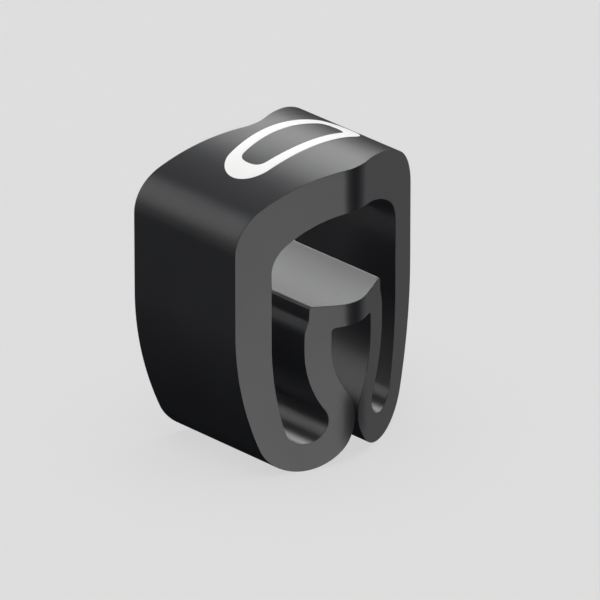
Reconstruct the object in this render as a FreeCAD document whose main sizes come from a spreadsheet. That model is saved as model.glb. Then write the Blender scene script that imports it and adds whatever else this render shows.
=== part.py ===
import FreeCAD, Part
import math
import os
import Sketcher
from FreeCAD import Rotation, Vector

# Closed cable marker, moulded in one piece, with a numeral printed on its crown.
# Frame: X across the marker, Y along the cable, Z up. The marker stands on its two round lobes at Z = 0,
# and the origin is the middle of its footprint. Both ends are cut to the same V in plan view, so the
# convex front end (towards -Y) of one marker nests in the concave rear end of the next.

# Driving dimensions, in millimetres and degrees: name, value, what it sizes
DIMENSIONS = [
    ("overall_width", 6.8, "across the two side walls"),
    ("overall_height", 8.95, "from the lobes to the top of the crown"),
    ("marker_length", 3.95, "along the cable, between the two parallel end faces"),
    ("chevron_angle", 22.25, "slope of each half of the end faces in plan view"),
    ("apex_radius", 1.15, "rounding of the V in plan view"),
    ("crown_radius", 5.1, "outer arc over the top"),
    ("crown_wall", 1.3, "wall at the top, which carries the print"),
    ("shoulder_radius", 1.5, "outer corner between crown and side"),
    ("side_wall", 1.0, "straight side wall"),
    ("taper_radius", 10.3, "outer arc from the side down to the lobe"),
    ("inner_crown_radius", 3.3, "roof of the cable passage"),
    ("inner_shoulder_radius", 1.0, "upper corner of the cable passage"),
    ("inner_taper_radius", 10.6, "arc from the passage side down to the slot"),
    ("lobe_radius", 1.38, "outer arc of each lobe"),
    ("lobe_gap", 0.13, "narrowest gap between the lobes"),
    ("lobe_wall", 0.83, "lobe below the slot"),
    ("slot_radius", 0.6, "round foot of the slot between side wall and leg"),
    ("leg_radius", 2.77, "arch face of each sprung leg"),
    ("leg_thickness", 0.75, "sprung leg"),
    ("arch_width", 1.52, "between the legs, under the bridge"),
    ("arch_height", 4.215, "underside of the bridge"),
    ("arch_corner", 0.12, "rounding under the bridge"),
    ("bridge_thickness", 0.66, "bridge at its middle"),
    ("bridge_width", 2.744, "between the two lips of the bridge"),
    ("bridge_dish_radius", 7.4, "hollow top of the bridge, where the cable lies"),
    ("lip_radius", 0.08, "rounded lip at each side of the bridge"),
    ("neck_radius", 0.45, "hollow between the lip and the leg"),
    ("neck_drop", 0.225, "from the middle of the bridge top down to the centre of that hollow"),
    ("flare_angle", 18.1, "slope of the leg below the neck, from upright"),
    ("flare_radius", 1.0, "arc from the sloping to the upright part of the leg"),
    ("flare_drop", 0.84, "from the middle of the bridge top down to the end of the upright part"),
    ("print_length", 4.61, "printed numeral, across the marker"),
    ("print_width", 1.73, "printed numeral, along the cable"),
    ("print_corner", 0.495, "radius of its corners"),
    ("print_corner_x", 1.61, "centre of a corner, across from the middle of the numeral"),
    ("print_corner_y", 0.26, "centre of a corner, along the cable from there"),
    ("counter_length", 3.414, "bare middle of the numeral, across the marker"),
    ("counter_width", 1.08, "bare middle of the numeral, along the cable"),
    ("counter_corner", 0.29, "radius of its corners"),
    ("counter_corner_x", 1.4, "centre of a corner, across from the middle of the numeral"),
    ("counter_corner_y", 0.143, "centre of a corner, along the cable from there"),
    ("print_shift_x", 0.14, "middle of the numeral, across from the middle of the marker"),
    ("print_shift_y", 0.016, "middle of the numeral, along the cable from the middle of the marker"),
    ("print_thickness", 0.02, "layer of ink"),
]
CLEAR = 1.0  # how far a cutting shape reaches past what it cuts

doc = FreeCAD.newDocument("cable_marker")
sheet = doc.addObject("Spreadsheet::Sheet", "dims")
for row, (name, value, meaning) in enumerate(DIMENSIONS, start=1):
    sheet.set("A%d" % row, name)
    sheet.set("B%d" % row, str(value))
    sheet.set("C%d" % row, meaning)
    sheet.setAlias("B%d" % row, name)
doc.recompute()


def dim(name):
    """The number that the sheet holds under this name."""
    return float(getattr(sheet, name))


def plane(body, role):
    """One of the body's own origin planes."""
    return next(feature for feature in body.Origin.OriginFeatures if feature.Role == role)


def body_sketch(body, name, role):
    """An empty sketch that lies flat on one of the body's origin planes."""
    sketch = body.newObject("Sketcher::SketchObject", name)
    sketch.AttachmentSupport = [(plane(body, role), "")]
    sketch.MapMode = "FlatFace"
    return sketch


def drive(sketch, name, expression, *constraint):
    """Add a dimensional constraint and bind it to the sheet."""
    index = sketch.addConstraint(Sketcher.Constraint(*constraint))
    sketch.renameConstraint(index, name)
    sketch.setExpression("Constraints." + name, expression)


def rise(hypotenuse, across):
    """The upright side of a right triangle."""
    return math.sqrt(hypotenuse * hypotenuse - across * across)


def toward(centre, other, radius):
    """The point on a circle about centre, on the line from centre through other."""
    return centre + (other - centre).normalize() * radius


def arc(centre, start, end):
    """The counter-clockwise arc about centre from start to the direction of end."""
    angles = [math.atan2(point.y - centre.y, point.x - centre.x) for point in (start, end)]
    return Part.ArcOfCircle(Part.Circle(centre, Vector(0, 0, 1), (start - centre).Length), *angles)


# Half of the section, seen along the cable
# The outline runs from the top of the crown down the outside, round the lobe, up the arch face of the
# leg and over the bridge, then round its lip into a hollow neck, down the slot and back up the passage
# side to the roof. Neighbours are tangent. Centres and ends are worked out from the sheet, so that the
# sketch starts at its own solution.
def draw_half_section(sketch):
    half = dim("overall_width") / 2
    top = Vector(0, dim("overall_height"), 0)
    roof = top - Vector(0, dim("crown_wall"), 0)
    passage = half - dim("side_wall")
    arch = dim("arch_width") / 2
    under = Vector(0, dim("arch_height"), 0)
    over = under + Vector(0, dim("bridge_thickness"), 0)
    leg_back = dim("leg_radius") + dim("leg_thickness")

    # outside
    crown_c = top - Vector(0, dim("crown_radius"), 0)
    shoulder_x = half - dim("shoulder_radius")
    shoulder_y = crown_c.y + rise(dim("crown_radius") - dim("shoulder_radius"), shoulder_x)
    shoulder_c = Vector(shoulder_x, shoulder_y, 0)
    lobe_c = Vector(dim("lobe_gap") / 2 + dim("lobe_radius"), dim("lobe_radius"), 0)
    taper_x = half - dim("taper_radius")
    taper_y = lobe_c.y + rise(dim("taper_radius") - dim("lobe_radius"), lobe_c.x - taper_x)
    taper_c = Vector(taper_x, taper_y, 0)
    crown_end = toward(crown_c, shoulder_c, dim("crown_radius"))
    side_top = Vector(half, shoulder_y, 0)
    side_foot = Vector(half, taper_y, 0)
    lobe_start = toward(taper_c, lobe_c, dim("taper_radius"))

    # leg and bridge: both faces of the leg share one centre, inside the arch
    leg_x = arch - dim("leg_radius")
    leg_y = lobe_c.y + rise(dim("lobe_radius") + dim("leg_radius"), lobe_c.x - leg_x)
    leg_c = Vector(leg_x, leg_y, 0)
    lobe_end = toward(lobe_c, leg_c, dim("lobe_radius"))
    arch_foot = Vector(arch, leg_y, 0)
    corner_c = Vector(arch - dim("arch_corner"), under.y - dim("arch_corner"), 0)
    arch_side = Vector(arch, corner_c.y, 0)
    arch_top = Vector(corner_c.x, under.y, 0)
    dish_c = over + Vector(0, dim("bridge_dish_radius"), 0)
    lip_x = dim("bridge_width") / 2 - dim("lip_radius")
    lip_c = Vector(lip_x, dish_c.y - rise(dim("bridge_dish_radius") + dim("lip_radius"), lip_x), 0)
    dish_end = toward(dish_c, lip_c, dim("bridge_dish_radius"))

    # slot face of the leg: upright, then an arc into a slope, then the hollow neck below the lip
    flare = math.radians(dim("flare_angle"))
    outward = Vector(math.cos(flare), math.sin(flare), 0)
    upright_foot = Vector(leg_x + leg_back, leg_y, 0)
    upright_top = Vector(upright_foot.x, over.y - dim("flare_drop"), 0)
    flare_c = upright_top - Vector(dim("flare_radius"), 0, 0)
    flare_end = flare_c + outward * dim("flare_radius")
    neck_y = over.y - dim("neck_drop")
    neck_x = (outward.dot(flare_end) + dim("neck_radius") - outward.y * neck_y) / outward.x
    neck_c = Vector(neck_x, neck_y, 0)
    slope_end = neck_c - outward * dim("neck_radius")
    reach = neck_c - lip_c
    lean = math.atan2(reach.y, reach.x) + math.acos((dim("lip_radius") + dim("neck_radius")) / reach.Length)
    under_lip = Vector(math.cos(lean), math.sin(lean), 0)
    lip_end = lip_c + under_lip * dim("lip_radius")
    neck_start = neck_c - under_lip * dim("neck_radius")

    # slot and passage
    slot_y = dim("lobe_wall") + dim("slot_radius")
    slot_c = Vector(leg_x + rise(leg_back + dim("slot_radius"), leg_y - slot_y), slot_y, 0)
    slot_start = toward(leg_c, slot_c, leg_back)
    inner_taper_x = passage - dim("inner_taper_radius")
    inner_taper_y = slot_y + rise(dim("inner_taper_radius") - dim("slot_radius"), slot_c.x - inner_taper_x)
    inner_taper_c = Vector(inner_taper_x, inner_taper_y, 0)
    slot_end = toward(inner_taper_c, slot_c, dim("inner_taper_radius"))
    roof_c = roof - Vector(0, dim("inner_crown_radius"), 0)
    inner_x = passage - dim("inner_shoulder_radius")
    inner_y = roof_c.y + rise(dim("inner_crown_radius") - dim("inner_shoulder_radius"), inner_x)
    inner_c = Vector(inner_x, inner_y, 0)
    passage_foot = Vector(passage, inner_taper_y, 0)
    passage_top = Vector(passage, inner_y, 0)
    roof_end = toward(roof_c, inner_c, dim("inner_crown_radius"))

    sketch.addGeometry([
        arc(crown_c, crown_end, top),                # 0 crown
        arc(shoulder_c, side_top, crown_end),        # 1 shoulder
        Part.LineSegment(side_top, side_foot),       # 2 side
        arc(taper_c, lobe_start, side_foot),         # 3 taper
        arc(lobe_c, lobe_end, lobe_start),           # 4 lobe
        arc(leg_c, lobe_end, arch_foot),             # 5 arch face of the leg
        Part.LineSegment(arch_foot, arch_side),      # 6 side of the arch
        arc(corner_c, arch_side, arch_top),          # 7 corner of the arch
        Part.LineSegment(arch_top, under),           # 8 underside of the bridge
        Part.LineSegment(under, over),               # 9 middle of the bridge
        arc(dish_c, over, dish_end),                 # 10 dished top of the bridge
        arc(lip_c, lip_end, dish_end),               # 11 lip
        Part.LineSegment(lip_end, neck_start),       # 12 below the lip
        arc(leg_c, slot_start, upright_foot),        # 13 slot face of the leg
        arc(slot_c, slot_start, slot_end),           # 14 foot of the slot
        arc(inner_taper_c, slot_end, passage_foot),  # 15 inner taper
        Part.LineSegment(passage_foot, passage_top), # 16 side of the passage
        arc(inner_c, passage_top, roof_end),         # 17 inner shoulder
        arc(roof_c, roof_end, roof),                 # 18 roof
        Part.LineSegment(roof, top),                 # 19 middle of the crown
        arc(neck_c, neck_start, slope_end),          # 20 neck
        Part.LineSegment(flare_end, slope_end),      # 21 slope below the neck
        arc(flare_c, upright_top, flare_end),        # 22 flare
        Part.LineSegment(upright_foot, upright_top), # 23 upright part of the leg
    ], False)

    # number, end, number, end of the two neighbours, where 1 is a start, 2 an end and 3 a centre
    tangent = [(0, 1, 1, 2), (1, 1, 2, 1), (2, 2, 3, 2), (3, 1, 4, 2), (4, 1, 5, 1), (5, 2, 6, 1),
               (6, 2, 7, 1), (7, 2, 8, 1), (10, 2, 11, 2), (11, 1, 12, 1), (12, 2, 20, 1), (20, 2, 21, 2),
               (21, 1, 22, 2), (22, 1, 23, 2), (23, 1, 13, 2), (13, 1, 14, 1), (14, 2, 15, 1),
               (15, 2, 16, 1), (16, 2, 17, 1), (17, 2, 18, 1)]
    joined = [(8, 2, 9, 1), (9, 2, 10, 1), (18, 2, 19, 1), (19, 2, 0, 2), (13, 3, 5, 3)]
    centred = [(0, 3), (10, 3), (18, 3), (9, 1), (19, 1)]
    rules = [Sketcher.Constraint("Tangent", *pair) for pair in tangent]
    rules += [Sketcher.Constraint("Coincident", *pair) for pair in joined]
    rules += [Sketcher.Constraint("Vertical", number) for number in (2, 6, 9, 16, 19, 23)]
    rules += [Sketcher.Constraint("PointOnObject", number, end, -2) for number, end in centred]
    rules += [Sketcher.Constraint("Horizontal", 8)]
    sketch.addConstraint(rules)

    radii = [(0, "crown_radius"), (1, "shoulder_radius"), (3, "taper_radius"), (4, "lobe_radius"),
             (5, "leg_radius"), (7, "arch_corner"), (10, "bridge_dish_radius"), (11, "lip_radius"),
             (14, "slot_radius"), (15, "inner_taper_radius"), (17, "inner_shoulder_radius"),
             (18, "inner_crown_radius"), (20, "neck_radius"), (22, "flare_radius")]
    for number, name in radii:
        drive(sketch, name, "dims." + name, "Radius", number, dim(name))
    drive(sketch, "leg_back", "dims.leg_radius + dims.leg_thickness", "Radius", 13, leg_back)
    drive(sketch, "flare_angle", "90 deg + dims.flare_angle * 1 deg", "Angle", 21, math.pi / 2 + flare)

    # name, formula, X or Y, number, end, value
    places = [
        ("side_at", "dims.overall_width / 2", "X", 2, 1, half),
        ("top_at", "dims.overall_height", "Y", 0, 2, top.y),
        ("passage_at", "dims.overall_width / 2 - dims.side_wall", "X", 16, 1, passage),
        ("roof_at", "dims.overall_height - dims.crown_wall", "Y", 18, 2, roof.y),
        ("lobe_across", "dims.lobe_gap / 2 + dims.lobe_radius", "X", 4, 3, lobe_c.x),
        ("lobe_up", "dims.lobe_radius", "Y", 4, 3, lobe_c.y),
        ("arch_at", "dims.arch_width / 2", "X", 6, 1, arch),
        ("under_at", "dims.arch_height", "Y", 9, 1, under.y),
        ("over_at", "dims.arch_height + dims.bridge_thickness", "Y", 9, 2, over.y),
        ("slot_up", "dims.lobe_wall + dims.slot_radius", "Y", 14, 3, slot_y),
        ("lip_across", "dims.bridge_width / 2 - dims.lip_radius", "X", 11, 3, lip_x),
        ("neck_up", "dims.arch_height + dims.bridge_thickness - dims.neck_drop", "Y", 20, 3, neck_y),
        ("flare_up", "dims.arch_height + dims.bridge_thickness - dims.flare_drop", "Y", 22, 3, flare_c.y),
    ]
    for name, expression, axis, number, end, value in places:
        drive(sketch, name, expression, "Distance" + axis, -1, 1, number, end, value)


# V-shaped end, seen from above
# The sketch's origin is where the two straight flanks would meet. The apex is rounded between them, and
# the other three sides only close the outline, clear of the marker.
def draw_end(sketch, far, far_formula):
    slope = math.radians(dim("chevron_angle"))
    radius = dim("apex_radius")
    reach = dim("overall_width") / 2 + CLEAR
    apex_c = Vector(0, radius / math.cos(slope), 0)
    right = apex_c + Vector(math.sin(slope), -math.cos(slope), 0) * radius
    left = Vector(-right.x, right.y, 0)
    flank_right = Vector(reach, reach * math.tan(slope), 0)
    flank_left = Vector(-reach, flank_right.y, 0)
    far_right = Vector(reach, far, 0)
    far_left = Vector(-reach, far, 0)
    sketch.addGeometry([
        arc(apex_c, left, right),                    # 0 apex
        Part.LineSegment(right, flank_right),        # 1 right flank
        Part.LineSegment(flank_right, far_right),    # 2
        Part.LineSegment(far_right, far_left),       # 3
        Part.LineSegment(far_left, flank_left),      # 4
        Part.LineSegment(flank_left, left),          # 5 left flank
    ], False)
    rules = [Sketcher.Constraint("Tangent", 0, 2, 1, 1), Sketcher.Constraint("Tangent", 5, 2, 0, 1)]
    rules += [Sketcher.Constraint("Coincident", number, 2, number + 1, 1) for number in (1, 2, 3, 4)]
    rules += [Sketcher.Constraint("Vertical", 2), Sketcher.Constraint("Vertical", 4)]
    rules += [Sketcher.Constraint("Horizontal", 3)]
    rules += [Sketcher.Constraint("PointOnObject", 0, 3, -2)]
    rules += [Sketcher.Constraint("Symmetric", 1, 2, 5, 1, -2)]
    sketch.addConstraint(rules)
    drive(sketch, "apex", "dims.apex_radius", "Radius", 0, radius)
    drive(sketch, "apex_up", "dims.apex_radius / cos(dims.chevron_angle)",
          "DistanceY", -1, 1, 0, 3, apex_c.y)
    drive(sketch, "slope", "dims.chevron_angle * 1 deg", "Angle", 1, slope)
    drive(sketch, "reach", "dims.overall_width / 2 + %g" % CLEAR, "DistanceX", -1, 1, 2, 1, reach)
    drive(sketch, "far", far_formula, "DistanceY", -1, 1, 3, 1, far)


# Printed numeral, seen from above
# A loop of eight arcs, each tangent to the next: a gentle arc along each side and each end, and a tighter
# corner between them. A gentle arc's radius follows from how far the corner's centre lies inside it.
GENTLE = "((dims.%s / 2 - %s)^2 + %s^2 - %s^2) / (2 * (dims.%s / 2 - %s - %s))"


def gentle_radius(reach, inset, along, corner):
    """The arc that passes the middle at this reach and touches the corner arc, inset from the reach."""
    return ((reach - inset) ** 2 + along ** 2 - corner ** 2) / (2 * (reach - inset - corner))


def draw_loop(sketch, tag):
    """Draw the loop that the sheet describes under this tag."""
    half_length = dim(tag + "_length") / 2
    half_width = dim(tag + "_width") / 2
    corner_r = dim(tag + "_corner")
    corner_x = dim(tag + "_corner_x")
    corner_y = dim(tag + "_corner_y")
    end_r = gentle_radius(half_length, corner_x, corner_y, corner_r)
    side_r = gentle_radius(half_width, corner_y, corner_x, corner_r)

    # centres, counter-clockwise from the right end: an end or side, then the corner after it
    centres = [Vector(half_length - end_r, 0, 0), Vector(corner_x, corner_y, 0),
               Vector(0, half_width - side_r, 0), Vector(-corner_x, corner_y, 0),
               Vector(end_r - half_length, 0, 0), Vector(-corner_x, -corner_y, 0),
               Vector(0, side_r - half_width, 0), Vector(corner_x, -corner_y, 0)]
    radii = [end_r, corner_r, side_r, corner_r] * 2
    meets = []
    for number in range(8):
        gentle = number if number % 2 == 0 else (number + 1) % 8
        corner = (number + 1) % 8 if number % 2 == 0 else number
        meets.append(toward(centres[gentle], centres[corner], radii[gentle]))
    first = sketch.GeometryCount
    sketch.addGeometry([arc(centres[n], meets[n - 1], meets[n]) for n in range(8)], False)
    right, corner_1, upper, corner_2, left, corner_3, lower, corner_4 = range(first, first + 8)
    rules = [Sketcher.Constraint("Tangent", first + n, 2, first + (n + 1) % 8, 1) for n in range(8)]
    rules += [Sketcher.Constraint("Equal", corner_1, other) for other in (corner_2, corner_3, corner_4)]
    rules += [Sketcher.Constraint("Equal", right, left), Sketcher.Constraint("Equal", upper, lower)]
    rules += [Sketcher.Constraint("Symmetric", right, 3, left, 3, -1, 1)]
    rules += [Sketcher.Constraint("Symmetric", upper, 3, lower, 3, -1, 1)]
    rules += [Sketcher.Constraint("PointOnObject", right, 3, -1)]
    rules += [Sketcher.Constraint("PointOnObject", upper, 3, -2)]
    sketch.addConstraint(rules)
    radius_at = "dims." + tag + "_corner"
    across_at = radius_at + "_x"
    along_at = radius_at + "_y"
    drive(sketch, tag + "_corner", radius_at, "Radius", corner_1, corner_r)
    drive(sketch, tag + "_corner_x", across_at, "DistanceX", -1, 1, corner_1, 3, corner_x)
    drive(sketch, tag + "_corner_y", along_at, "DistanceY", -1, 1, corner_1, 3, corner_y)
    length_at, width_at = tag + "_length", tag + "_width"
    end_formula = GENTLE % (length_at, across_at, along_at, radius_at, length_at, across_at, radius_at)
    side_formula = GENTLE % (width_at, along_at, across_at, radius_at, width_at, along_at, radius_at)
    drive(sketch, tag + "_end", end_formula, "Radius", right, end_r)
    drive(sketch, tag + "_side", side_formula, "Radius", upper, side_r)


# Places along the cable
# The marker takes up the length between its ends plus the depth of the V, less what the rounded apex
# takes off. Its middle is at Y = 0, which sets where the flanks of each end would meet.
FLANK_DEPTH = "dims.overall_width / 2 * tan(dims.chevron_angle)"
APEX_LOSS = "dims.apex_radius * (1 / cos(dims.chevron_angle) - 1)"
DEPTH = "(dims.marker_length + %s - %s)" % (FLANK_DEPTH, APEX_LOSS)
FRONT_V = "-(dims.marker_length + %s + %s) / 2" % (FLANK_DEPTH, APEX_LOSS)
REAR_V = "%s + dims.marker_length" % FRONT_V
CROWN_CENTRE = "dims.overall_height - dims.crown_radius"


def end_cut(body, name, origin, far_formula):
    """Cut everything on the far side of a V that runs through the whole height."""
    sketch = body_sketch(body, name + "_outline", "XY_Plane")
    sketch.setExpression("AttachmentOffset.Base.y", origin)
    draw_end(sketch, float(sketch.evalExpression(far_formula)), far_formula)
    cut = body.newObject("PartDesign::Pocket", name)
    cut.Profile = sketch
    cut.Type = "ThroughAll"
    cut.SideType = "Symmetric"
    return cut


def make_clip():
    """The moulded marker: hoop, two lobes, two sprung legs and the bridge between them, in one piece."""
    body = doc.addObject("PartDesign::Body", "marker_clip")
    sketch = body_sketch(body, "half_section", "XZ_Plane")
    draw_half_section(sketch)
    half = body.newObject("PartDesign::Pad", "half_hoop")
    half.Profile = sketch
    half.SideType = "Symmetric"
    half.setExpression("Length", "%s + %g" % (DEPTH, CLEAR))
    whole = body.newObject("PartDesign::Mirrored", "whole_hoop")
    whole.Originals = [half]
    whole.MirrorPlane = (plane(body, "YZ_Plane"), [""])
    body.Tip = whole
    doc.recompute()
    front = end_cut(body, "front_end", FRONT_V, "-%g" % CLEAR)
    doc.recompute()
    rear = end_cut(body, "rear_end", REAR_V, "%s + %g" % (FLANK_DEPTH, 2 * CLEAR))
    doc.recompute()
    volumes = [feature.Shape.Volume for feature in (rear, front, whole)]
    if not volumes[0] < volumes[1] < volumes[2]:
        raise RuntimeError("an end cut took nothing away: %s" % volumes)
    return body


def crown_cylinder(name, radius):
    """A cylinder along the cable, about the centre of the crown's outer arc."""
    cylinder = doc.addObject("Part::Cylinder", name)
    cylinder.Placement.Rotation = Rotation(Vector(1, 0, 0), -90)
    cylinder.setExpression("Radius", radius)
    cylinder.setExpression("Height", "dims.print_width + %g" % (2 * CLEAR))
    cylinder.setExpression("Placement.Base.y", "dims.print_shift_y - dims.print_width / 2 - %g" % CLEAR)
    cylinder.setExpression("Placement.Base.z", CROWN_CENTRE)
    return cylinder


def make_numeral():
    """The printed nought: a thin layer that lies on the crown, in the outline seen from above."""
    outline = doc.addObject("Sketcher::SketchObject", "numeral_outline")
    outline.setExpression("Placement.Base.x", "dims.print_shift_x")
    outline.setExpression("Placement.Base.y", "dims.print_shift_y")
    outline.setExpression("Placement.Base.z", CROWN_CENTRE)
    draw_loop(outline, "print")
    draw_loop(outline, "counter")
    prism = doc.addObject("Part::Extrusion", "numeral_prism")
    prism.Base = outline
    prism.DirMode = "Normal"
    prism.Solid = True
    prism.setExpression("LengthFwd", "dims.crown_radius + %g" % CLEAR)
    layer = doc.addObject("Part::Cut", "ink_layer")
    layer.Base = crown_cylinder("ink_outside", "dims.crown_radius + dims.print_thickness")
    layer.Tool = crown_cylinder("ink_inside", "dims.crown_radius")
    numeral = doc.addObject("Part::Common", "printed_zero")
    numeral.Base = layer
    numeral.Tool = prism
    return numeral


# Build, check and write
nodes = [make_clip(), make_numeral()]
doc.recompute()
for thing in doc.Objects:
    if "Invalid" in thing.State or "Error" in thing.State:
        raise RuntimeError("%s did not compute: %s" % (thing.Label, thing.State))
for node in nodes:
    if node.Shape.isNull() or not node.Shape.isValid():
        raise RuntimeError("%s has no valid shape" % node.Label)

os.makedirs("parts", exist_ok=True)
for node in nodes:
    node.Shape.exportStep("parts/%s.step" % node.Label)
    print(node.Label, "%.4f mm3" % node.Shape.Volume, node.Shape.BoundBox)
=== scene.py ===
# %% [markdown]
# # A cable marker around its CAD frame
# The real object is a small clip of black plastic, moulded in one go, that is pushed over a cable and
# carries one printed character on its crown. It is about 7 mm wide and 9 mm high.
# The imported CAD model gives the frame: its axes, its size and the place of each node. The looks are built
# around it, so this lesson starts by loading it and printing the box of each node.

# %% Load the frame
import math
import bmesh
import bpy
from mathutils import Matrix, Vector


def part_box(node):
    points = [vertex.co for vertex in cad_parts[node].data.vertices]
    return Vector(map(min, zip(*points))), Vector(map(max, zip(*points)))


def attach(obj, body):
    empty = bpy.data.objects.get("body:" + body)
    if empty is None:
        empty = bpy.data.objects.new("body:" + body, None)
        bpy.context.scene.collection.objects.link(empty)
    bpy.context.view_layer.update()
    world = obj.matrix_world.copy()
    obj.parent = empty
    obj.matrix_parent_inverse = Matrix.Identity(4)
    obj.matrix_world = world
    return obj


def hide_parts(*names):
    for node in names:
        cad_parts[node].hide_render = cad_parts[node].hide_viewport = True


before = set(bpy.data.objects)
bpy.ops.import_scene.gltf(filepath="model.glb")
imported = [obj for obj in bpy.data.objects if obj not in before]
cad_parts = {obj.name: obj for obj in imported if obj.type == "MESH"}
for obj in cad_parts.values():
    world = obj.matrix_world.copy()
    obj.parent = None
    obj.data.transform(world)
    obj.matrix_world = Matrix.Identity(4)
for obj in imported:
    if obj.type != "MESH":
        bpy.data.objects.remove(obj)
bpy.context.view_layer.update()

for node_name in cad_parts:
    low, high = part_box(node_name)
    corners = [[round(c * 1000, 3) for c in corner] for corner in (low, high)]
    print(node_name, "from", corners[0], "to", corners[1], "mm")

# %% [markdown]
# ## Working size
# Blender's modelling tools merge points that are closer than a tenth of a thousandth of a unit, and in
# metres that is a tenth of a millimetre, which is as much as some details here. So the pieces are modelled
# with one unit for one millimetre and shrunk at the end, as a watchmaker works under a magnifying glass.

# %% Millimetres
MM = 0.001
overall_width = 6.8
overall_height = 8.95
marker_length = 3.95
half_width = overall_width / 2
print("marker", overall_width, "by", overall_height, "mm and", marker_length, "mm along the cable")

# %% [markdown]
# ## Drawing a section with spin and extrude
# The moulding is one section pulled along the cable, and the section is a chain of arcs and short straight
# runs. It could be drawn as a curve, but a chain that is spun and extruded keeps its points where they are
# wanted, evenly along each arc. The pen below starts from a plane that is merged into one point. It pulls
# that point along a straight run with extrude, and swings it about a centre with spin.

# %% The pen
SECTION = (Vector((1, 0, 0)), Vector((0, 0, 1)), (0, -1, 0))
PLAN = (Vector((1, 0, 0)), Vector((0, 1, 0)), (0, 0, 1))


def deselect_all():
    """Leave nothing selected, so that the next operator acts on the new piece alone."""
    if bpy.context.object and bpy.context.object.mode == "EDIT":
        bpy.ops.object.mode_set(mode="OBJECT")
    bpy.ops.object.select_all(action="DESELECT")


class Pen:
    """Draws one chain of points on a plane. Places are pairs of numbers on that plane, in millimetres."""

    def __init__(self, name, sheet, start):
        self.across, self.up, self.axis = sheet
        deselect_all()
        bpy.ops.mesh.primitive_plane_add(size=1)
        self.chain = bpy.context.object
        self.chain.name = name
        bpy.ops.object.mode_set(mode="EDIT")
        bpy.ops.mesh.merge(type="CENTER")
        bpy.ops.transform.translate(value=self.place(start))

    def place(self, point):
        return self.across * point[0] + self.up * point[1]

    def tip(self):
        """Where the chain ends now: its one selected point."""
        mesh = bmesh.from_edit_mesh(self.chain.data)
        at = next(v.co for v in mesh.verts if v.select)
        return at.dot(self.across), at.dot(self.up)

    def line_to(self, end, steps=1):
        """Extrude the tip in equal steps to this place."""
        x, y = self.tip()
        stride = self.place(((end[0] - x) / steps, (end[1] - y) / steps))
        for step in range(steps):
            bpy.ops.mesh.extrude_region_move(TRANSFORM_OT_translate={"value": stride})

    def arc_to(self, centre, toward, steps, clockwise=True):
        """Spin the tip about the centre, until it lies in the direction of this place."""
        x, y = self.tip()
        first = math.atan2(y - centre[1], x - centre[0])
        last = math.atan2(toward[1] - centre[1], toward[0] - centre[0])
        sweep = (first - last) % math.tau if clockwise else -((last - first) % math.tau)
        bpy.ops.mesh.spin(steps=steps, angle=sweep, center=self.place(centre), axis=self.axis)

    def lift(self):
        """Put the pen away and return the chain."""
        bpy.ops.object.mode_set(mode="OBJECT")
        print(self.chain.name, "has", len(self.chain.data.vertices), "points")
        return self.chain


def rise(hypotenuse, across):
    """The upright side of a right triangle."""
    return math.sqrt(hypotenuse * hypotenuse - across * across)


# %% [markdown]
# ## The section's centres
# Each arc runs into the next without a corner, so the centre of the next arc follows from the radii: two
# arcs that bend the same way have centres one difference of radii apart, and two that bend opposite ways
# have centres one sum apart. The numbers are the ones that the CAD part was drawn with.
# The leg's slot face is the busiest stretch: it rises upright, flares inwards to a slope, and turns
# through a hollow neck into the small lip at the side of the bridge.

# %% Outside of the hoop
crown_radius = 5.1
shoulder_radius = 1.5
taper_radius = 10.3
lobe_radius = 1.38
lobe_gap = 0.13

crown_c = (0, overall_height - crown_radius)
shoulder_x = half_width - shoulder_radius
shoulder_c = (shoulder_x, crown_c[1] + rise(crown_radius - shoulder_radius, shoulder_x))
lobe_c = (lobe_gap / 2 + lobe_radius, lobe_radius)
taper_x = half_width - taper_radius
taper_c = (taper_x, lobe_c[1] + rise(taper_radius - lobe_radius, lobe_c[0] - taper_x))
print("side wall upright from", round(taper_c[1], 3), "to", round(shoulder_c[1], 3))

# %% Leg and bridge
leg_radius = 2.77
leg_thickness = 0.75
arch_half = 0.76
arch_height = 4.215
arch_corner = 0.12
bridge_thickness = 0.66
bridge_half = 1.372
dish_radius = 7.4
lip_radius = 0.08

leg_back_radius = leg_radius + leg_thickness
bridge_top = arch_height + bridge_thickness
leg_x = arch_half - leg_radius
leg_c = (leg_x, lobe_c[1] + rise(lobe_radius + leg_radius, lobe_c[0] - leg_x))
corner_c = (arch_half - arch_corner, arch_height - arch_corner)
dish_c = (0, bridge_top + dish_radius)
lip_x = bridge_half - lip_radius
lip_c = (lip_x, dish_c[1] - rise(dish_radius + lip_radius, lip_x))
print("leg centre at", [round(c, 3) for c in leg_c], "and lip centre at", [round(c, 3) for c in lip_c])

# %% Flare and neck
neck_radius = 0.45
neck_below_top = 0.225
flare_radius = 1.0
flare_below_top = 0.84
flare = math.radians(18.1)
slope_out = (math.cos(flare), math.sin(flare))


def shifted(place, direction, distance):
    """The place this far along a direction."""
    return (place[0] + direction[0] * distance, place[1] + direction[1] * distance)


upright_top = (leg_x + leg_back_radius, bridge_top - flare_below_top)
flare_c = (upright_top[0] - flare_radius, upright_top[1])
flare_end = shifted(flare_c, slope_out, flare_radius)
neck_z = bridge_top - neck_below_top
neck_drop = slope_out[1] * (flare_end[1] - neck_z)
neck_c = (flare_end[0] + (neck_drop + neck_radius) / slope_out[0], neck_z)
neck_foot = shifted(neck_c, slope_out, -neck_radius)
neck_reach = math.dist(neck_c, lip_c)
lip_turn = math.acos((lip_radius + neck_radius) / neck_reach)
lip_lean = math.atan2(neck_c[1] - lip_c[1], neck_c[0] - lip_c[0]) + lip_turn
lip_out = (math.cos(lip_lean), math.sin(lip_lean))
lip_foot = shifted(lip_c, lip_out, lip_radius)
neck_top = shifted(neck_c, lip_out, -neck_radius)
print("neck from", [round(c, 3) for c in neck_foot], "to", [round(c, 3) for c in neck_top])

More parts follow.
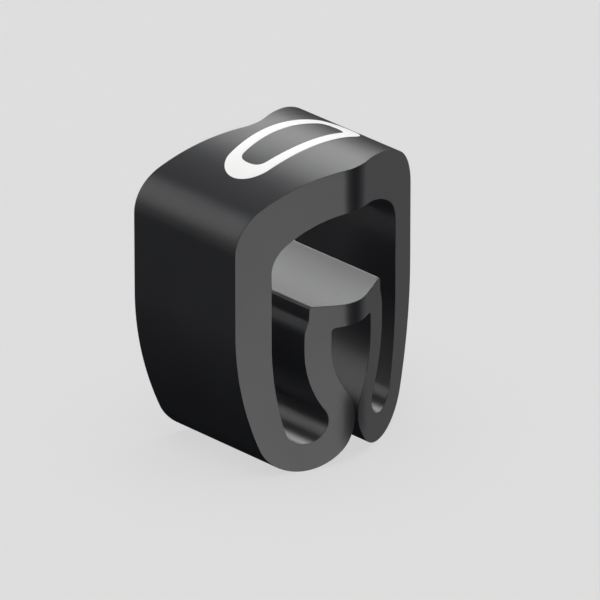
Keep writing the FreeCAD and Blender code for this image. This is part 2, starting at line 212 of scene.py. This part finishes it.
# %% Passage and slot
crown_wall = 1.3
roof_radius = 3.3
side_wall = 1.0
inner_shoulder_radius = 1.0
inner_taper_radius = 10.6
lobe_wall = 0.83
slot_radius = 0.6

roof_z = overall_height - crown_wall
inner_half = half_width - side_wall
roof_c = (0, roof_z - roof_radius)
inner_x = inner_half - inner_shoulder_radius
inner_c = (inner_x, roof_c[1] + rise(roof_radius - inner_shoulder_radius, inner_x))
slot_z = lobe_wall + slot_radius
slot_c = (leg_x + rise(leg_back_radius + slot_radius, leg_c[1] - slot_z), slot_z)
inner_taper_x = inner_half - inner_taper_radius
inner_taper_drop = rise(inner_taper_radius - slot_radius, slot_c[0] - inner_taper_x)
inner_taper_c = (inner_taper_x, slot_z + inner_taper_drop)
print("slot centre at", [round(c, 3) for c in slot_c])

# %% [markdown]
# ## Two chains, one ribbon
# The section is really one long ribbon of wall that runs from the crown down the side, round the lobe, up
# the leg and over the bridge. So it is drawn as two chains, the ribbon's outer and inner edge, and each
# feature gets as many points on one as on the other: crown and roof, shoulder and inner shoulder, lobe and
# slot. The arch's straight run and corner have 18 points between them, and so do the flare, the neck and
# the lip across from them. Bridging the two then gives rows of neat four-sided faces across the wall.
# Filling the outline would be quicker, but it leaves long thin triangles that catch the light in streaks.

# %% Outer edge of the ribbon
CROWN_STEPS = 60
SHOULDER_STEPS = 24
SIDE_STEPS = 10
TAPER_STEPS = 24
LOBE_STEPS = 72
LEG_STEPS = 20
BRIDGE_STEPS = 24
pen = Pen("outer_edge", SECTION, (0, overall_height))
pen.arc_to(crown_c, shoulder_c, CROWN_STEPS)
pen.arc_to(shoulder_c, (half_width, shoulder_c[1]), SHOULDER_STEPS)
pen.line_to((half_width, taper_c[1]), SIDE_STEPS)
pen.arc_to(taper_c, lobe_c, TAPER_STEPS)
pen.arc_to(lobe_c, leg_c, LOBE_STEPS)
pen.arc_to(leg_c, (arch_half, leg_c[1]), LEG_STEPS, clockwise=False)
pen.line_to((arch_half, corner_c[1]), 6)
pen.arc_to(corner_c, (corner_c[0], arch_height), 12, clockwise=False)
pen.line_to((0, arch_height), BRIDGE_STEPS)
outer_edge = pen.lift()

# %% Inner edge of the ribbon
pen = Pen("inner_edge", SECTION, (0, roof_z))
pen.arc_to(roof_c, inner_c, CROWN_STEPS)
pen.arc_to(inner_c, (inner_half, inner_c[1]), SHOULDER_STEPS)
pen.line_to((inner_half, inner_taper_c[1]), SIDE_STEPS)
pen.arc_to(inner_taper_c, slot_c, TAPER_STEPS)
pen.arc_to(slot_c, leg_c, LOBE_STEPS)
pen.arc_to(leg_c, (upright_top[0], leg_c[1]), LEG_STEPS, clockwise=False)
pen.line_to(upright_top, 2)
pen.arc_to(flare_c, flare_end, 4, clockwise=False)
pen.line_to(neck_foot)
pen.arc_to(neck_c, neck_top, 5)
pen.line_to(lip_foot)
pen.arc_to(lip_c, dish_c, 5, clockwise=False)
pen.arc_to(dish_c, (0, bridge_top), BRIDGE_STEPS)
inner_edge = pen.lift()

# %% Bridge the two edges and mirror the half
WALL_CUTS = 3
MERGE_DISTANCE = 0.001
deselect_all()
outer_edge.select_set(True)
inner_edge.select_set(True)
bpy.context.view_layer.objects.active = outer_edge
bpy.ops.object.join()
moulding = outer_edge
moulding.name = "marker_moulding"
bpy.ops.object.mode_set(mode="EDIT")
bpy.ops.mesh.select_all(action="SELECT")
bpy.ops.mesh.bridge_edge_loops(number_cuts=WALL_CUTS, interpolation="LINEAR")
bpy.ops.mesh.select_all(action="SELECT")
bpy.ops.mesh.symmetrize(direction="POSITIVE_X", threshold=MERGE_DISTANCE)
bpy.ops.mesh.select_all(action="SELECT")
bpy.ops.mesh.remove_doubles(threshold=MERGE_DISTANCE)
bpy.ops.object.mode_set(mode="OBJECT")
print("half ribbon mirrored:", len(moulding.data.polygons), "faces")

# %% [markdown]
# ## The V-shaped ends
# Markers nest: the front end is a V that pushes into the hollow V of the next one. The section is extruded
# along the cable by the marker's length, and then each half is slid back the further it is from the
# middle, which is a shear. Blender's own shear needs a window, so each point is moved by the height of the
# V at its own distance from the middle. The tip of the V is rounded, in an arc that both flanks run into.

# %% Extrude and slide
flank_slope = math.radians(22.25)
apex_radius = 1.15
apex_reach = apex_radius * math.sin(flank_slope)
v_depth = half_width * math.tan(flank_slope)
apex_loss = apex_radius * (1 / math.cos(flank_slope) - 1)
front_y = -(marker_length + v_depth + apex_loss) / 2


def end_y(x):
    """How far along the cable the front end lies, at this distance across the marker."""
    if abs(x) > apex_reach:
        return front_y + abs(x) * math.tan(flank_slope)
    return front_y + apex_radius / math.cos(flank_slope) - rise(apex_radius, x)


bpy.ops.object.mode_set(mode="EDIT")
bpy.ops.mesh.select_all(action="SELECT")
bpy.ops.mesh.extrude_region_move(TRANSFORM_OT_translate={"value": (0, marker_length, 0)})
bpy.ops.mesh.select_all(action="SELECT")
bpy.ops.mesh.normals_make_consistent(inside=False)
bpy.ops.object.mode_set(mode="OBJECT")
for point in moulding.data.vertices:
    point.co.y += end_y(point.co.x)
ends = (end_y(0), end_y(half_width) + marker_length)
print("marker runs from", round(ends[0], 3), "to", round(ends[1], 3), "along the cable")

# %% [markdown]
# ## Softened edges
# No mould gives a knife edge, and a tiny round is what catches the light. A Bevel modifier rounds only the
# edges where two faces meet at a real angle, which are the rims of the two ends, and its hardened normals
# keep the flat faces flat right up to the round.

# %% Bevel and smooth
EDGE_ROUND = 0.009
SMOOTH_BELOW = math.radians(20)
ROUND_ABOVE = math.radians(40)
deselect_all()
moulding.select_set(True)
bpy.context.view_layer.objects.active = moulding
bpy.ops.object.shade_smooth_by_angle(angle=SMOOTH_BELOW)
rounding = moulding.modifiers.new("edge_round", "BEVEL")
rounding.width = EDGE_ROUND
rounding.segments = 3
rounding.limit_method = "ANGLE"
rounding.angle_limit = ROUND_ABOVE
rounding.harden_normals = True
bpy.ops.object.modifier_apply(modifier=rounding.name)
print("moulding:", len(moulding.data.polygons), "faces")

# %% [markdown]
# ## The printed numeral
# The character is a film of white ink that is pressed on with a pad, so it follows the crown. It is drawn
# flat as two ovals with the same pen, each of gentle arcs for its sides and ends with tighter corners
# between them, bridged into a ring, laid onto the moulding with Shrinkwrap and given the thickness of ink
# with Solidify.

# %% Draw the nought
print_middle = (0.14, 0.016)
INK = 0.006
ARC_STEPS = 24
RING_CUTS = 3
DRAWN_ABOVE = 1


def printed(x, y):
    """A place on the print, measured from the numeral's own middle."""
    return (print_middle[0] + x, print_middle[1] + y)


def beyond(start, passed):
    """A place on the far side of the second point, seen from the first."""
    return (2 * passed[0] - start[0], 2 * passed[1] - start[1])


def draw_oval(name, length, width, corner_x, corner_y, corner_r):
    """A closed loop that goes clockwise. The corners' centre and radius give the gentle arcs theirs."""
    side_gap = width / 2 - corner_y
    end_gap = length / 2 - corner_x
    side_r = (side_gap ** 2 + corner_x ** 2 - corner_r ** 2) / (2 * (side_gap - corner_r))
    end_r = (end_gap ** 2 + corner_y ** 2 - corner_r ** 2) / (2 * (end_gap - corner_r))
    upper = printed(0, width / 2 - side_r)
    lower = printed(0, side_r - width / 2)
    right = printed(length / 2 - end_r, 0)
    left = printed(end_r - length / 2, 0)
    oval = Pen(name, PLAN, printed(0, width / 2))
    ahead = upper
    for corner, after in ((printed(corner_x, corner_y), right), (printed(corner_x, -corner_y), lower),
                          (printed(-corner_x, -corner_y), left), (printed(-corner_x, corner_y), upper)):
        oval.arc_to(ahead, corner, ARC_STEPS)
        oval.arc_to(corner, beyond(after, corner), ARC_STEPS)
        ahead = after
    oval.arc_to(upper, printed(0, width / 2), ARC_STEPS)
    return oval.lift()


nought = draw_oval("printed_nought", length=4.61, width=1.73, corner_x=1.61, corner_y=0.26, corner_r=0.495)
counter = draw_oval("counter", length=3.414, width=1.08, corner_x=1.4, corner_y=0.143, corner_r=0.29)
deselect_all()
nought.select_set(True)
counter.select_set(True)
bpy.context.view_layer.objects.active = nought
bpy.ops.object.join()
bpy.ops.object.mode_set(mode="EDIT")
bpy.ops.mesh.select_all(action="SELECT")
bpy.ops.mesh.remove_doubles(threshold=MERGE_DISTANCE)
bpy.ops.mesh.bridge_edge_loops(number_cuts=RING_CUTS, interpolation="LINEAR")
bpy.ops.mesh.select_all(action="SELECT")
bpy.ops.transform.translate(value=(0, 0, overall_height + DRAWN_ABOVE))
bpy.ops.mesh.normals_make_consistent(inside=False)
bpy.ops.object.mode_set(mode="OBJECT")
print("nought drawn:", len(nought.data.polygons), "faces")

# %% Lay it on the crown
lay = nought.modifiers.new("lay_on_crown", "SHRINKWRAP")
lay.target = moulding
lay.wrap_method = "PROJECT"
lay.use_project_z = True
lay.use_negative_direction = True
bpy.ops.object.modifier_apply(modifier=lay.name)
film = nought.modifiers.new("film", "SOLIDIFY")
film.thickness = INK
film.offset = 1
bpy.ops.object.modifier_apply(modifier=film.name)
bpy.ops.object.mode_set(mode="EDIT")
bpy.ops.mesh.select_all(action="SELECT")
bpy.ops.mesh.normals_make_consistent(inside=False)
bpy.ops.object.mode_set(mode="OBJECT")
bpy.ops.object.shade_smooth_by_angle(angle=ROUND_ABOVE)
print("film of ink:", len(nought.data.polygons), "faces")

# %% Shrink both pieces to metres
for piece in (moulding, nought):
    deselect_all()
    piece.select_set(True)
    bpy.context.view_layer.objects.active = piece
    piece.scale = (MM, MM, MM)
    bpy.ops.object.transform_apply(location=True, rotation=True, scale=True)
    reach = [round(length * 1000, 3) for length in piece.dimensions]
    print(piece.name, "measures", reach, "mm")

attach(moulding, "root")
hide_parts("marker_clip")
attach(nought, "root")
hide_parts("printed_zero")

# %% [markdown]
# ## Writing a finish as sums
# A material is a net of nodes, and wiring each sum by hand hides what it says. The small class below wraps
# an output socket, so that an ordinary sum in the code adds the Math node that works it out.

# %% A socket that does sums
class Signal:
    """An output of a node. A sum or a product with it adds a Math node."""

    def __init__(self, finish, socket):
        self.finish = finish
        self.socket = socket

    def math_node(self, operation, first, second):
        return self.finish.node("ShaderNodeMath", {"operation": operation}, {0: first, 1: second})

    def __add__(self, other):
        return self.math_node("ADD", self, other)

    def __mul__(self, other):
        return self.math_node("MULTIPLY", self, other)

    __radd__ = __add__
    __rmul__ = __mul__


class Finish:
    """The nodes of a material or of the room: one method adds any node and wires it up."""

    def __init__(self, owner):
        owner.use_nodes = True
        self.owner = owner
        self.nodes = owner.node_tree.nodes
        self.links = owner.node_tree.links
        self.nodes.clear()

    def node(self, kind, settings=None, inputs=None, output=0):
        """Add a node of this kind, set it up, and fill its inputs with values or signals."""
        new = self.nodes.new(kind)
        for key, value in (settings or {}).items():
            setattr(new, key, value)
        for key, value in (inputs or {}).items():
            if isinstance(value, Signal):
                self.links.new(value.socket, new.inputs[key])
            else:
                new.inputs[key].default_value = value
        return Signal(self, new.outputs[output]) if len(new.outputs) else None

    def done(self, shader, kind="ShaderNodeOutputMaterial"):
        """Wire this shader to the output and return the material or the room."""
        self.node(kind, None, {"Surface": shader})
        return self.owner


# %% [markdown]
# ## Black moulded plastic
# The clip is a hard black plastic from a mould that was spark-eroded, which leaves a very fine, even grain
# and a satin sheen. A smooth noise with a scale of a few hundredths of a millimetre gives the grain as a
# bump, and a slow one makes the sheen drift a little from place to place, as it does where the melt cooled
# faster. Both read Object coordinates, so they stay on the piece.

# %% The plastic
BLACK = (0.0083, 0.0088, 0.0117, 1)
SOOT = (0.0103, 0.0108, 0.0137, 1)
plastic = Finish(bpy.data.materials.new("clip_plastic"))
place = plastic.node("ShaderNodeTexCoord", None, None, "Object")
drift = plastic.node("ShaderNodeTexNoise", None, {"Vector": place, "Scale": 450, "Detail": 2})
grain = plastic.node("ShaderNodeTexNoise", None, {"Vector": place, "Scale": 22000, "Detail": 2})
tone = plastic.node("ShaderNodeMix", {"data_type": "RGBA"}, {0: drift, 6: BLACK, 7: SOOT}, 2)
sheen = 0.34 + drift * 0.05 + grain * 0.04
bump = plastic.node("ShaderNodeBump", None, {"Strength": 0.25, "Distance": 0.000002, "Height": grain})
shader = plastic.node("ShaderNodeBsdfPrincipled", None,
                      {"Base Color": tone, "Roughness": sheen, "IOR": 1.5, "Normal": bump})
black_plastic = plastic.done(shader)
moulding.data.materials.append(black_plastic)
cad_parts["marker_clip"].data.materials.clear()
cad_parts["marker_clip"].data.materials.append(black_plastic)
print("plastic made of", len(plastic.nodes), "nodes")

# %% [markdown]
# ## White ink
# Pad-printed ink is a matt, dense white. Up close it shows a fine tooth, and here and there a trace less
# pigment, so a noise darkens it very slightly and roughens its surface.

# %% The ink
WHITE = (0.93, 0.93, 0.92, 1)
THIN_WHITE = (0.89, 0.89, 0.88, 1)
ink = Finish(bpy.data.materials.new("print_ink"))
place = ink.node("ShaderNodeTexCoord", None, None, "Object")
tooth = ink.node("ShaderNodeTexNoise", None, {"Vector": place, "Scale": 16000, "Detail": 3})
cloud = ink.node("ShaderNodeTexNoise", None, {"Vector": place, "Scale": 2200, "Detail": 2})
pigment = ink.node("ShaderNodeMix", {"data_type": "RGBA"}, {0: cloud, 6: WHITE, 7: THIN_WHITE}, 2)
bump = ink.node("ShaderNodeBump", None, {"Strength": 0.3, "Distance": 0.000003, "Height": tooth})
shader = ink.node("ShaderNodeBsdfPrincipled", None,
                  {"Base Color": pigment, "Roughness": 0.5 + tooth * 0.15, "IOR": 1.5, "Normal": bump})
white_ink = ink.done(shader)
nought.data.materials.append(white_ink)
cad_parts["printed_zero"].data.materials.clear()
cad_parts["printed_zero"].data.materials.append(white_ink)
print("ink made of", len(ink.nodes), "nodes")

# %% [markdown]
# ## Table and backdrop
# The marker stands on a plain pale table with a pale wall far behind it, as bright as the photograph's
# background. The photograph shows next to no shadow, as on a sheet of opal glass that is lit from below, so
# most of the brightness is the glass's own glow and the marker's shadow stays faint. A Light Path node
# gives this look to the rays that see the background and leaves a dimmer grey for the light that spreads
# from one surface to the next. The black plastic mirrors no pale table in the photograph, so both are left
# out of its reflections.

# %% Opal glass
BACKGROUND = 0.723
GLOW = 0.8
DIM = 0.3
opal = Finish(bpy.data.materials.new("opal_glass"))
pale = (BACKGROUND, BACKGROUND, BACKGROUND, 1)
kinds = ("Is Camera Ray", "Is Glossy Ray", "Is Transmission Ray")
camera_ray, glossy_ray, glass_ray = [opal.node("ShaderNodeLightPath", None, None, kind) for kind in kinds]
seen = camera_ray + glossy_ray + glass_ray
white = opal.node("ShaderNodeBsdfDiffuse", None, {"Color": pale})
glow = opal.node("ShaderNodeEmission", None, {"Color": pale})
glowing = opal.node("ShaderNodeMixShader", None, {0: GLOW, 1: white, 2: glow})
dim = opal.node("ShaderNodeBsdfDiffuse", None, {"Color": (DIM, DIM, DIM, 1)})
opal_glass = opal.done(opal.node("ShaderNodeMixShader", None, {0: seen, 1: dim, 2: glowing}))
print("opal glass made of", len(opal.nodes), "nodes")

# %% The table and the wall
TABLE_RADIUS = 3
WALL_HEIGHT = 1
deselect_all()
bpy.ops.mesh.primitive_circle_add(vertices=96, radius=TABLE_RADIUS, fill_type="NGON")
table = bpy.context.object
table.name = "table"
bpy.ops.object.mode_set(mode="EDIT")
bpy.ops.mesh.select_mode(type="EDGE")
bpy.ops.mesh.select_all(action="SELECT")
bpy.ops.mesh.region_to_loop()
bpy.ops.mesh.extrude_region_move(TRANSFORM_OT_translate={"value": (0, 0, WALL_HEIGHT)})
bpy.ops.object.mode_set(mode="OBJECT")
table.data.materials.append(opal_glass)
table.visible_glossy = False
table.visible_shadow = False
print("table", 2 * TABLE_RADIUS, "m across")

# %% [markdown]
# ## Light
# The photograph's shading says where the lamps are, because each face of the marker mirrors one part of the
# room. The crown is brightest where it mirrors a point opposite the camera and a third of the way up, and
# the left shoulder where it mirrors one behind and to the left. The two flanks of the front mirror a lamp
# each, below the table's level, with a gap between them that leaves the dark line down the tip of the V.
# In the photograph the lamps opposite the camera and behind on the left also reach the bridge through the
# crown, where real ones would be shaded. So those two cast no shadows, and no bounced ray is used to look
# for them, because the crown would stop it. The other lamps cast shadows, which keep the inside of the
# slots dark. A softly glowing ceiling helps the overhead lamp to light the white print.

# %% The ceiling
CEILING = 0.49
room = Finish(bpy.data.worlds.new("room"))
direction = room.node("ShaderNodeTexCoord", None, None, "Generated")
height = room.node("ShaderNodeSeparateXYZ", None, {0: direction}, 2)
upward = room.node("ShaderNodeMath", {"operation": "MAXIMUM"}, {0: height, 1: 0.0})
brightness = upward * upward * CEILING
sky = room.node("ShaderNodeBackground", None, {"Color": (1, 1, 1, 1), "Strength": brightness})
bpy.context.scene.world = room.done(sky, "ShaderNodeOutputWorld")
print("ceiling made of", len(room.nodes), "nodes")

# %% Softboxes
LAMP_DISTANCE = 1.5


def softbox(name, azimuth, elevation, size, level, shadow=True):
    """A round lamp that faces the marker. At level 1 a white card that faces it reads as white."""
    around, over = math.radians(azimuth), math.radians(elevation)
    toward = Vector((math.cos(around) * math.cos(over), math.sin(around) * math.cos(over), math.sin(over)))
    data = bpy.data.lights.new(name, "AREA")
    data.shape = "DISK"
    data.size = size
    data.energy = level * (math.pi * LAMP_DISTANCE) ** 2
    data.use_shadow = shadow
    data.cycles.use_multiple_importance_sampling = shadow
    lamp = bpy.data.objects.new(name, data)
    bpy.context.scene.collection.objects.link(lamp)
    lamp.location = toward * LAMP_DISTANCE
    lamp.rotation_euler = toward.to_track_quat("Z", "Y").to_euler()
    lamp.visible_camera = False
    print(name, "at", azimuth, "degrees round and", elevation, "degrees up")


softbox("overhead", 0, 90, 1.5, 0.58)
softbox("opposite_camera", 43, 32, 1.1, 0.471, shadow=False)
softbox("behind_left", 130, 20, 1.2, 0.351, shadow=False)
softbox("low_front", -98, -36, 0.55, 0.447)
softbox("low_right", -7, -24, 1.25, 0.081)
softbox("low_behind", 110, -10, 0.62, 0.194)

# %% [markdown]
# ## Camera
# The photograph is taken from far away with a long lens, from in front, from the left and from above.

# %% The camera
camera_data = bpy.data.cameras.new("camera")
camera_data.lens = 684.9
camera_data.sensor_width = 36
camera = bpy.data.objects.new("camera", camera_data)
bpy.context.scene.collection.objects.link(camera)
camera.location = Vector((-199.1802, -200.4897, 142.4035)) * MM
view_line = Vector((0.63361406, 0.63646384, -0.43982611))
camera.rotation_euler = view_line.to_track_quat("-Z", "Y").to_euler()
bpy.context.scene.camera = camera
bpy.context.scene.view_settings.view_transform = "Standard"
print("camera at", [round(c * 1000, 1) for c in camera.location], "mm")
